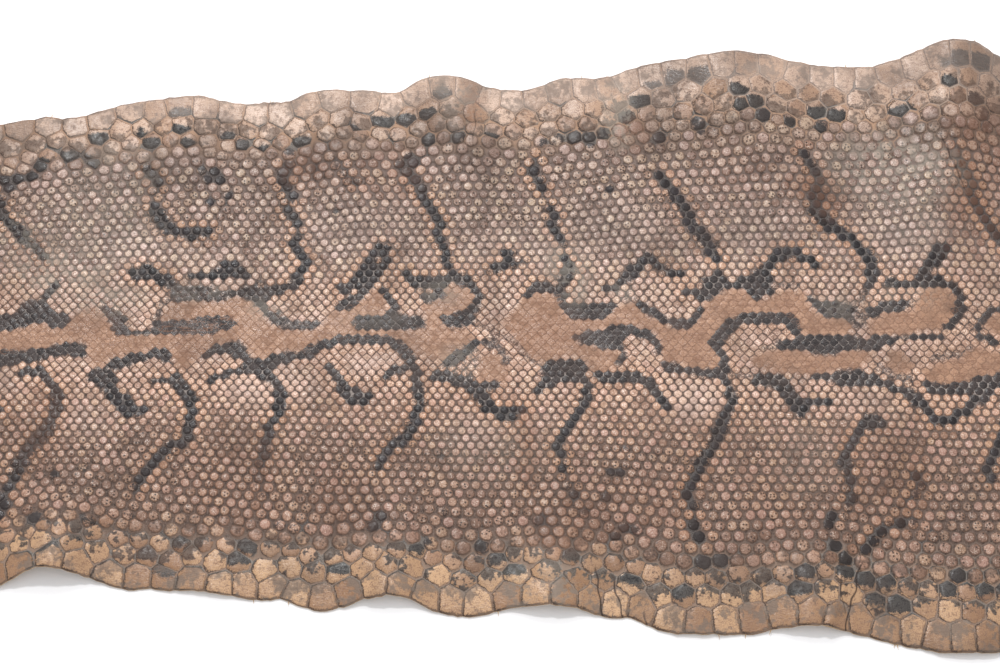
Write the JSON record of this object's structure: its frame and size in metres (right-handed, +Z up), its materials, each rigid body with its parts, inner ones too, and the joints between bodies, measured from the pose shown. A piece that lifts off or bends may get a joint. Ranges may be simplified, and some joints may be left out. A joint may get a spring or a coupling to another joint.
{
  "type": "python skin",
  "caption": "Length of tanned python skin, opened along the belly and lying scale side up, with net-like dark markings and large belly-side scales along both edges.",
  "frame": {"origin": "middle of the sheet's box, on the flat surface that the sheet lies on", "axes": "+X along the body towards the head, +Y across the body, +Z up, away from the surface, on the scale side"},
  "size_m": [0.565, 0.3202, 0.0166],
  "materials": {
    "tanned_hide": "satin scales on a matt hide"
  },
  "bodies": {
    "root": {"python_skin": "tanned_hide"}
  },
  "joints": []
}
